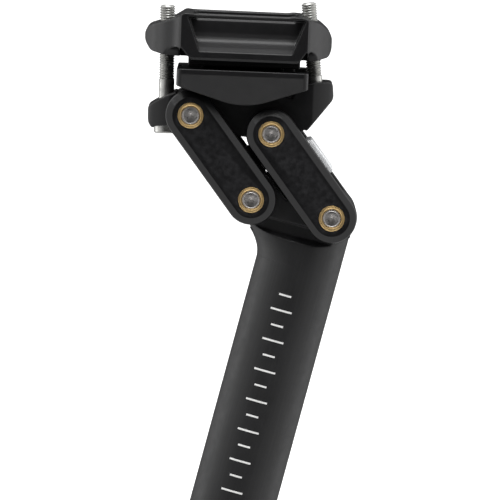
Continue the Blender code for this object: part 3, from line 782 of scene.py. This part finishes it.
def stepped_hole(bolt, head):
    """The recess for a bolt's head and the hole above it for the shank."""
    recess, shank = head[0] + GAP, BOLT_RADIUS + SHANK_CLEARANCE
    profile = [(0.0, -16.0), (recess, -16.0), (recess, 0.0), (shank, 0.0), (shank, 20.0), (0.0, 20.0)]
    return placed(turned("stepped", profile, 48), standing(*bolt))


def to_clamp(point):
    """World (x, z) as (u, w) in the clamp's frame."""
    dx, dz = point[0] - RAIL_CENTRE[0], point[1] - RAIL_CENTRE[1]
    return (dx * math.cos(RAIL_TILT) + dz * math.sin(RAIL_TILT),
            dz * math.cos(RAIL_TILT) - dx * math.sin(RAIL_TILT))


def rail_groove(side):
    """The room that one saddle rail takes."""
    groove = rod("groove", RAIL_RADIUS + 0.15, -26.0, 26.0, 64)
    turn = Matrix.Rotation(math.radians(90.0), 4, "Y")
    return placed(groove, Matrix.Translation((0.0, side * RAIL_SPACING / 2 * MM, 0.0)) @ turn)


def make_clamp_base():
    """Two pivot bosses under a hollow seat for the cradle, drawn out into an ear round each bolt."""
    front, rear = to_clamp(UPPER_FRONT), to_clamp(UPPER_REAR)
    outline = rounded([(-27.9, -23.2), (-29.6, -21.2), (-29.8, -15.8), (-24.4, -12.5), (-20.2, -10.6)], 1.2)
    outline += [(-14.6, -10.3)]
    outline += arc((0.0, ROCKER_CENTRE_W), ROCKER_RADIUS + GAP, 236.0, 304.0, 30)
    rear_ear = [(16.0, -10.6), (19.8, -7.2), (22.7, -6.2), (28.3, -6.0), (29.0, -6.8), (29.4, -11.4)]
    outline += rounded(rear_ear + [(20.9, -22.2)], 1.2)
    outline += arc(rear, PIVOT_BOSS_RADIUS, -30.0, -108.0, 20)
    outline += [(2.0, -24.4), (-5.0, -24.0)]
    outline += arc(front, PIVOT_BOSS_RADIUS, -58.0, -150.0, 24)
    body = prism("body", outline, -BASE_HALF, BASE_HALF)
    plan = [(-31.0, -7.6), (-29.2, -10.2), (-26.0, -12.3), (-21.0, -14.2), (21.0, -14.2), (25.5, -12.3)]
    plan += [(28.8, -10.0), (31.0, -7.0)]
    keep_inside(body, prism_along_z("plan", rounded(both_sides(plan), 2.0), -40.0, 10.0))
    cut(body, stepped_hole(FRONT_BOLT, FRONT_HEAD), stepped_hole(REAR_BOLT, REAR_HEAD))
    forge(body, 0.26, 4)
    return cut(body, cross_rod(PIN_RADIUS + GAP, front), cross_rod(PIN_RADIUS + GAP, rear))


def make_lower_cradle():
    """A grooved deck on a round rocker, with a curved cheek under each rail."""
    half = DECK_HALF_LENGTH
    deck = box("deck", (-half, -CLAMP_HALF, DECK_BOTTOM_W), (half, CLAMP_HALF, -LAND_BELOW_RAIL))
    rocker_side = arc((0.0, ROCKER_CENTRE_W), ROCKER_RADIUS, 237.0, 303.0, 40)
    rocker = prism("rocker", rocker_side + [(10.0, -5.0), (-10.0, -5.0)], -ROCKER_HALF, ROCKER_HALF)
    cheek_side = [(half - 0.2, -3.3), (half - 0.2, -8.3)] + arc((0.5, 9.4), 23.3, -70.0, -110.0, 24)
    cheek_side += [(0.2 - half, -8.5), (0.2 - half, -3.3)]
    parts = [rocker]
    for side in (LEFT, RIGHT):
        parts.append(prism("cheek", cheek_side, *on_side(side, 21.0, CLAMP_HALF)))
    unite(deck, *parts)
    plan = rounded(both_sides([(-half - 0.1, -26.1), (half + 0.1, -26.1)]), 2.4)
    keep_inside(deck, prism_along_z("plan", plan, -20.0, 5.0))
    rear_notch = box("notch", (16.4, -14.2, -12.0), (40.0, 14.2, 0.0))
    front_notch = box("notch", (-40.0, -3.4, -12.0), (-19.4, 3.4, 0.0))
    pocket = soften(box("pocket", (-13.0, -16.0, -5.0), (13.0, 16.0, 0.0)), 1.0)
    cut(deck, rail_groove(LEFT), rail_groove(RIGHT), rear_notch, front_notch, pocket)
    forge(deck, 0.24, 2)
    # The flanks draw in below a narrow upright band.
    for vert in deck.data.vertices:
        if abs(vert.co.y) > 23.0 * MM and vert.co.z < FLANK_TOP_W * MM:
            vert.co.y -= math.copysign((FLANK_TOP_W * MM - vert.co.z) * FLANK_SLOPE, vert.co.y)
    return deck


def make_dish(side):
    """The hollow in one side of the upper clamp, whose steep back wall sweeps out over the rail."""
    sweep = [(29.5, 2.5), (26.0, 2.7), (25.2, 3.1), (24.4, 3.6), (23.4, 4.15), (22.4, 4.55), (21.3, 4.85)]
    sweep += [(20.3, 5.2), (19.5, 5.65), (18.9, 6.3), (18.5, 7.2), (18.2, 8.6), (17.8, 13.4), (29.5, 13.7)]
    dish = prism_along_x("dish", [(side * y, w) for y, w in sweep], -19.5, 21.0)
    frame_side = [(-13.2, 0.4), (14.6, 0.4), (20.2, 15.2), (-18.6, 15.2)]
    return keep_inside(dish, prism("frame", rounded(frame_side, 2.0), -35.0, 35.0))


def make_upper_clamp():
    """A forged frame with a dish in each side, an open pan on top and a lobe round each bolt.

    A slot beside the pan, the skylight, opens each dish to the top.
    """
    side_view = [(-20.0, 0.7), (-25.0, 0.9), (-29.6, 2.0), (-31.5, 5.0), (-31.6, 8.0), (-30.2, 10.1)]
    side_view += [(-27.8, 10.8), (-22.6, 12.5), (-20.4, 13.8), (-18.9, 14.8), (-17.0, 14.5), (14.0, 14.4)]
    side_view += [(15.6, 14.7), (18.8, 14.5), (20.9, 13.6), (23.9, 12.9), (26.8, 10.6), (28.1, 8.2)]
    side_view += [(28.1, 4.4), (27.2, 1.9), (22.9, 0.8), (20.4, 0.7)]
    clamp = prism("block", rounded(side_view, 1.0), -CLAMP_HALF, CLAMP_HALF)
    plan = [(-32.0, -6.0), (-31.4, -10.4), (-29.0, -14.8), (-25.5, -18.6), (-22.0, -21.6), (-20.3, -24.0)]
    plan += [(-20.2, -26.5), (20.5, -26.5), (20.6, -24.0), (22.4, -20.6), (25.0, -16.4), (27.0, -12.0)]
    plan += [(28.2, -8.0), (28.6, -4.6)]
    keep_inside(clamp, prism_along_z("plan", rounded(both_sides(plan), 1.6), -5.0, 20.0))
    # The ends of the side frames lean in towards the jaws, outside the lobes.
    for side in (LEFT, RIGHT):
        for u, reach in ((-20.1, -16.8), (20.3, 17.6)):
            lean = [(u, -3.0), (reach, -3.0), (reach, 0.3), (u, 4.2)]
            cut(clamp, prism("lean", lean, *on_side(side, 14.0, 30.0)))
    under = box("under", (-17.4, -17.2, -2.1), (18.2, 17.2, 2.0))
    lip = box("lip", (-16.5, -25.9, -0.1), (17.3, 25.9, 1.7))
    unite(clamp, under, lip)
    skylights = []
    for side in (LEFT, RIGHT):
        low, high = on_side(side, 17.2, 24.4)
        skylights.append(box("skylight", (-15.2, low, 12.6), (16.2, high, 30.0)))
    cut(clamp, *skylights, make_dish(LEFT), make_dish(RIGHT))
    pan = rounded(both_sides([(-16.4, -15.4), (17.2, -15.4)]), 3.0)
    cutters = [prism_along_z("pan", pan, 5.6, 30.0), rail_groove(LEFT), rail_groove(RIGHT)]
    cutters += [bolt_passage(bolt, BOLT_RADIUS + PASSAGE_CLEARANCE) for bolt in (FRONT_BOLT, REAR_BOLT)]
    for low_u, high_u, floor_w in ((-29.4, -25.0, 8.6), (21.0, 25.6, 9.0)):
        cutters.append(box("slot", (low_u, -1.7, floor_w), (high_u, 1.7, 30.0)))
    for low_u, high_u in ((-35.0, -19.6), (17.0, 33.0)):
        cutters.append(box("pocket", (low_u, -NUT_POCKET_HALF_WIDTH, NUT_W - NUT_POCKET_HALF_HEIGHT),
                           (high_u, NUT_POCKET_HALF_WIDTH, NUT_W + NUT_POCKET_HALF_HEIGHT)))
    cut(clamp, *cutters)
    return forge(clamp, 0.25, 5)


for make, node, body in ((make_clamp_base, "clamp_base", "head"),
                         (make_lower_cradle, "lower_cradle", "cradle"),
                         (make_upper_clamp, "upper_clamp", "rail_clamp")):
    show(placed(make(), CLAMP_PLACE), f"{node}_forged", FORGED_BLACK, body, node, sharp=0.0)


def make_bolt(foot, top, size, shank_low, shank_high):
    """A socket-head bolt with a real helical thread, broken by a plain shank between two heights.

    Its washer lies at the foot, between the head and the piece it bears on.
    """
    length = math.hypot(top[0] - foot[0], top[1] - foot[1])
    around, per_pitch = 40, 8
    wide, tall = size
    socket_z, seat_z = SOCKET_DEPTH - tall, -WASHER_THICKNESS
    head = [(0.05, socket_z), (SOCKET_RADIUS, socket_z), (SOCKET_RADIUS, 0.2 - tall)]
    head += [(SOCKET_RADIUS + 0.2, -tall), (wide - 0.45, -tall), (wide, 0.5 - tall)]
    head += [(wide, seat_z - 0.3), (wide - 0.3, seat_z), (BOLT_RADIUS, seat_z)]
    rows = [circle(radius, height, around) for radius, height in head]
    start = seat_z + 0.2
    count = int((length - 0.1 - start) / THREAD_PITCH * per_pitch)
    for k in range(count + 1):
        height = start + THREAD_PITCH * k / per_pitch
        row = []
        for i in range(around):
            # A wave with flat crests and narrow roots, which climbs one pitch in a turn.
            turn = (height / THREAD_PITCH - i / around) % 1.0
            ridge = min(1.0, max(0.0, 2.6 * abs(turn - 0.5) - 0.15))
            radius = BOLT_RADIUS - THREAD_DEPTH * (1.0 - ridge)
            if shank_low < height < shank_high:
                radius = BOLT_RADIUS - 0.03
            radius = min(radius, BOLT_RADIUS - TIP_CHAMFER + (length - height) * 1.1)
            row.append((radius * math.cos(math.tau * i / around),
                        radius * math.sin(math.tau * i / around), height))
        rows.append(row)
    tip = ((1.5, length - 0.02), (0.42, length - 0.02), (0.05, length - 0.4))
    rows += [circle(radius, height, around) for radius, height in tip]
    return loft("bolt", rows)


for end, bolt, head, shank in (("front", FRONT_BOLT, FRONT_HEAD, (2.0, 12.0)),
                               ("rear", REAR_BOLT, REAR_HEAD, (1.0, 5.6))):
    place = CLAMP_PLACE @ standing(*bolt)
    show(placed(make_bolt(*bolt, head, *shank), place), f"{end}_clamp_bolt_threaded", ZINC, "head",
         f"{end}_clamp_bolt", sharp=35.0)


# ---------------------------------------------------------------- carried-over CAD nodes

CARRIED = {
    "front_bolt_washer": ZINC, "rear_bolt_washer": ZINC, "push_rod": GROUND_STEEL,
    "main_spring": ZINC, "inner_spring": ZINC, "lever_roller": GROUND_STEEL,
    "lever_roller_pin": GROUND_STEEL, "front_clamp_nut": GROUND_STEEL, "rear_clamp_nut": GROUND_STEEL,
    "plunger_guide_bush": BRONZE, "spring_plunger": ALLOY, "spring_cap": ALLOY, "spring_seat": ALLOY,
    "preload_plug": ALLOY, "preload_plug_seal": RUBBER, "bottom_out_bumper": RUBBER,
}
for node, material in CARRIED.items():
    mesh = frame["nodes"][node].data
    mesh.materials.clear()
    mesh.materials.append(material)


# ---------------------------------------------------------------- studio

# Places and sizes in this part are metres.
ROLL = math.radians(15.22)
ELEVATION = math.radians(4.0)
DISTANCE = 2.0
FOCAL_MM = 448.6
SENSOR_MM = 36.0
AIM = Vector((-0.01605, 0.0, 0.22349))
ACROSS = Vector((math.cos(ROLL), 0.0, math.sin(ROLL)))
UPWARD = Vector((-math.sin(ROLL), 0.0, math.cos(ROLL)))
NEARER = Vector((0.0, -1.0, 0.0))
SIDE_GLOW = 1.1
FRONT_GLOW = 0.035
GLOW_FADE = (0.35, 0.85)
WHITE = (1.0, 1.0, 1.0, 1.0)
FLOOR_HALF = 40.0
FLOOR_DROP = 0.0002
FLOOR_GLOW = 0.62
# Each softbox: its place (right, up, near) in the view, its width and height, and its power in watts.
SOFTBOXES = {
    "left_softbox": ((-1.1, 0.3, -0.25), (0.5, 1.6), 4.0),
    "right_softbox": ((1.1, 0.3, -0.25), (0.5, 1.6), 4.0),
    "top_softbox": ((0.0, 1.2, 0.35), (1.2, 0.8), 18.0),
    "front_softbox": ((-0.3, 0.9, 1.1), (0.9, 0.6), 1.2),
    "low_softbox": ((0.0, -0.75, 1.5), (1.0, 0.4), 3.0),
}


def in_view(right, up, near):
    """A point by how far it is to the right of the aim, above it and nearer the camera, in metres."""
    return AIM + ACROSS * right + UPWARD * up + NEARER * near


def make_camera():
    """A long lens a little above the horizon, rolled so that the post leans in the picture."""
    back = NEARER * math.cos(ELEVATION) + UPWARD * math.sin(ELEVATION)
    up = UPWARD * math.cos(ELEVATION) - NEARER * math.sin(ELEVATION)
    data = bpy.data.cameras.new("camera")
    data.lens = FOCAL_MM
    data.sensor_width = SENSOR_MM
    data.clip_start, data.clip_end = 0.1, 100.0
    camera = bpy.data.objects.new("camera", data)
    bpy.context.scene.collection.objects.link(camera)
    turn = Matrix((ACROSS, up, back)).transposed()
    camera.matrix_world = Matrix.Translation(AIM + back * DISTANCE) @ turn.to_4x4()
    bpy.context.scene.camera = camera


def softbox(name, place, size, power):
    """A rectangular light that faces the aim."""
    data = bpy.data.lights.new(name, "AREA")
    data.shape = "RECTANGLE"
    data.size, data.size_y = size
    data.energy = power
    light = bpy.data.objects.new(name, data)
    bpy.context.scene.collection.objects.link(light)
    light.location = place
    light.rotation_euler = (AIM - place).to_track_quat("-Z", "Y").to_euler()


def make_world():
    """A room whose walls glow left, right, above and below, but not before or behind the object."""
    world = bpy.data.worlds.new("studio")
    bpy.context.scene.world = world
    world.use_nodes = True
    tree = world.node_tree
    way = tree.nodes.new("ShaderNodeTexCoord")
    parts = tree.nodes.new("ShaderNodeSeparateXYZ")
    square = tree.nodes.new("ShaderNodeMath")
    square.operation = "MULTIPLY"
    glow = tree.nodes.new("ShaderNodeMapRange")
    glow.inputs["From Min"].default_value, glow.inputs["From Max"].default_value = GLOW_FADE
    glow.inputs["To Min"].default_value = SIDE_GLOW
    glow.inputs["To Max"].default_value = FRONT_GLOW
    tree.links.new(way.outputs["Generated"], parts.inputs[0])
    tree.links.new(parts.outputs["Y"], square.inputs[0])
    tree.links.new(parts.outputs["Y"], square.inputs[1])
    tree.links.new(square.outputs[0], glow.inputs["Value"])
    room = tree.nodes["Background"]
    room.inputs["Color"].default_value = WHITE
    tree.links.new(glow.outputs[0], room.inputs["Strength"])
    behind = tree.nodes.new("ShaderNodeBackground")
    behind.inputs["Color"].default_value = WHITE
    behind.inputs["Strength"].default_value = 1.0
    choose = tree.nodes.new("ShaderNodeMixShader")
    path = tree.nodes.new("ShaderNodeLightPath")
    tree.links.new(path.outputs["Is Camera Ray"], choose.inputs["Fac"])
    tree.links.new(room.outputs[0], choose.inputs[1])
    tree.links.new(behind.outputs[0], choose.inputs[2])
    tree.links.new(choose.outputs[0], tree.nodes["World Output"].inputs["Surface"])


def make_floor():
    """A wide pale floor, bright enough to run into the white behind it."""
    half = FLOOR_HALF
    floor_z = cad_box[0][2] - FLOOR_DROP
    bm = bmesh.new()
    bm.faces.new([bm.verts.new((x, y, floor_z))
                  for x, y in ((-half, -half), (half, -half), (half, half), (-half, half))])
    floor = new_object("floor", bm)
    made = Surface("floor_paper")
    made.colour(made.mix(made.patches(60.0), (0.86, 0.86, 0.86), (0.9, 0.9, 0.9)))
    made.roughness(made.patches(4.0, 0.85, 0.95))
    made.relief(made.speckle(0.6), 0.01)
    made.shader.inputs["Emission Color"].default_value = WHITE
    made.shader.inputs["Emission Strength"].default_value = FLOOR_GLOW
    floor.data.materials.append(made.material)
    floor.visible_glossy = False
    floor.visible_diffuse = False


make_camera()
make_world()
make_floor()
for name, (place, size, power) in SOFTBOXES.items():
    softbox(name, in_view(*place), size, power)
bpy.context.scene.view_settings.view_transform = "Standard"
